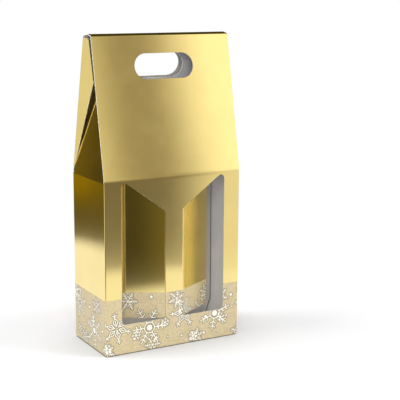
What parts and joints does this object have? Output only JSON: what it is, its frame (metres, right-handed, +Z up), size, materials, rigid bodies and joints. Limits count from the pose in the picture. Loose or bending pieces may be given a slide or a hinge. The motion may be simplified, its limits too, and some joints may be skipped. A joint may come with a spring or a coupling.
{
  "type": "bottle gift box",
  "caption": "Tall gabled carrier box of folded gold board for a pair of bottles, with a hand hole through the top, cut-out front windows and opening flaps.",
  "frame": {"origin": "centre of the underside, on the surface the box stands on", "axes": "+X to the right seen from the window side, +Y from the windows to the back, +Z up"},
  "size_m": [0.18, 0.09, 0.371],
  "materials": {
    "printed_foil": "gold foil over board, with a printed band round the foot",
    "gold_foil": "satin gold foil over board",
    "bare_board": "matt grey board"
  },
  "bodies": {
    "carton": {"front_panel": "printed_foil", "back_panel": "printed_foil", "side_wall_left": "printed_foil", "side_wall_right": "printed_foil", "glue_tab": "bare_board"},
    "lid": {"front_slope": "gold_foil"},
    "strip": {"top_strip": "gold_foil"},
    "tuck": {"tuck_flap": "gold_foil"},
    "rear": {"back_slope": "gold_foil"},
    "wing_left": {"wing_left": "gold_foil"},
    "wing_right": {"wing_right": "gold_foil"},
    "dust_left": {"dust_flap_left": "gold_foil"},
    "dust_right": {"dust_flap_right": "gold_foil"},
    "window_left": {"window_flap_left": "printed_foil"},
    "window_right": {"window_flap_right": "printed_foil"},
    "base": {"base_panel": "gold_foil"},
    "base_tuck": {"base_tuck": "gold_foil"},
    "base_left": {"base_flap_left": "bare_board"},
    "base_right": {"base_flap_right": "bare_board"}
  },
  "joints": [
    {"name": "lid_fold", "type": "hinge", "parent": "carton", "child": "lid", "pos_m": [0, -0.045, 0.208], "axis": [1, 0, 0], "range_deg": [0, 135]},
    {"name": "strip_fold", "type": "hinge", "parent": "lid", "child": "strip", "pos_m": [0, -0.013, 0.371], "axis": [1, 0, 0], "range_deg": [0, 78.94]},
    {"name": "tuck_fold", "type": "hinge", "parent": "strip", "child": "tuck", "pos_m": [0, 0.00758, 0.371], "axis": [1, 0, 0], "range_deg": [0, 90]},
    {"name": "rear_fold", "type": "hinge", "parent": "carton", "child": "rear", "pos_m": [0, 0.045, 0.208], "axis": [1, 0, 0], "range_deg": [-110, 0]},
    {"name": "wing_left_fold", "type": "hinge", "parent": "rear", "child": "wing_left", "pos_m": [-0.09, 0.045, 0.208], "axis": [0, -0.2157, 0.9765], "range_deg": [-93, 0]},
    {"name": "wing_right_fold", "type": "hinge", "parent": "rear", "child": "wing_right", "pos_m": [0.09, 0.045, 0.208], "axis": [0, -0.2157, 0.9765], "range_deg": [0, 93]},
    {"name": "dust_left_fold", "type": "hinge", "parent": "carton", "child": "dust_left", "pos_m": [-0.089, 0, 0.20597], "axis": [0, 1, 0], "range_deg": [0, 85]},
    {"name": "dust_right_fold", "type": "hinge", "parent": "carton", "child": "dust_right", "pos_m": [0.089, 0, 0.20597], "axis": [0, 1, 0], "range_deg": [-85, 0]},
    {"name": "window_left_fold", "type": "hinge", "parent": "carton", "child": "window_left", "pos_m": [-0.01125, -0.044, 0.1], "axis": [0, 0, 1], "range_deg": [-60, 30]},
    {"name": "window_right_fold", "type": "hinge", "parent": "carton", "child": "window_right", "pos_m": [0.01125, -0.044, 0.1], "axis": [0, 0, 1], "range_deg": [-30, 60]},
    {"name": "base_fold", "type": "hinge", "parent": "carton", "child": "base", "pos_m": [0, 0.045, 0], "axis": [1, 0, 0], "range_deg": [0, 150]},
    {"name": "base_tuck_fold", "type": "hinge", "parent": "base", "child": "base_tuck", "pos_m": [0, -0.04229, 0.001], "axis": [1, 0, 0], "range_deg": [-40, 0]},
    {"name": "base_left_fold", "type": "hinge", "parent": "carton", "child": "base_left", "pos_m": [-0.09, 0, 0.001], "axis": [0, 1, 0], "range_deg": [0, 90]},
    {"name": "base_right_fold", "type": "hinge", "parent": "carton", "child": "base_right", "pos_m": [0.09, 0, 0.001], "axis": [0, 1, 0], "range_deg": [-90, 0]}
  ],
  "couplings": [
    {"joint": "strip_fold", "follows": "lid_fold", "ratio": 0.58},
    {"joint": "tuck_fold", "follows": "lid_fold", "ratio": 0.66},
    {"joint": "base_left_fold", "follows": "base_fold", "ratio": 0.6},
    {"joint": "base_right_fold", "follows": "base_fold", "ratio": -0.6}
  ]
}
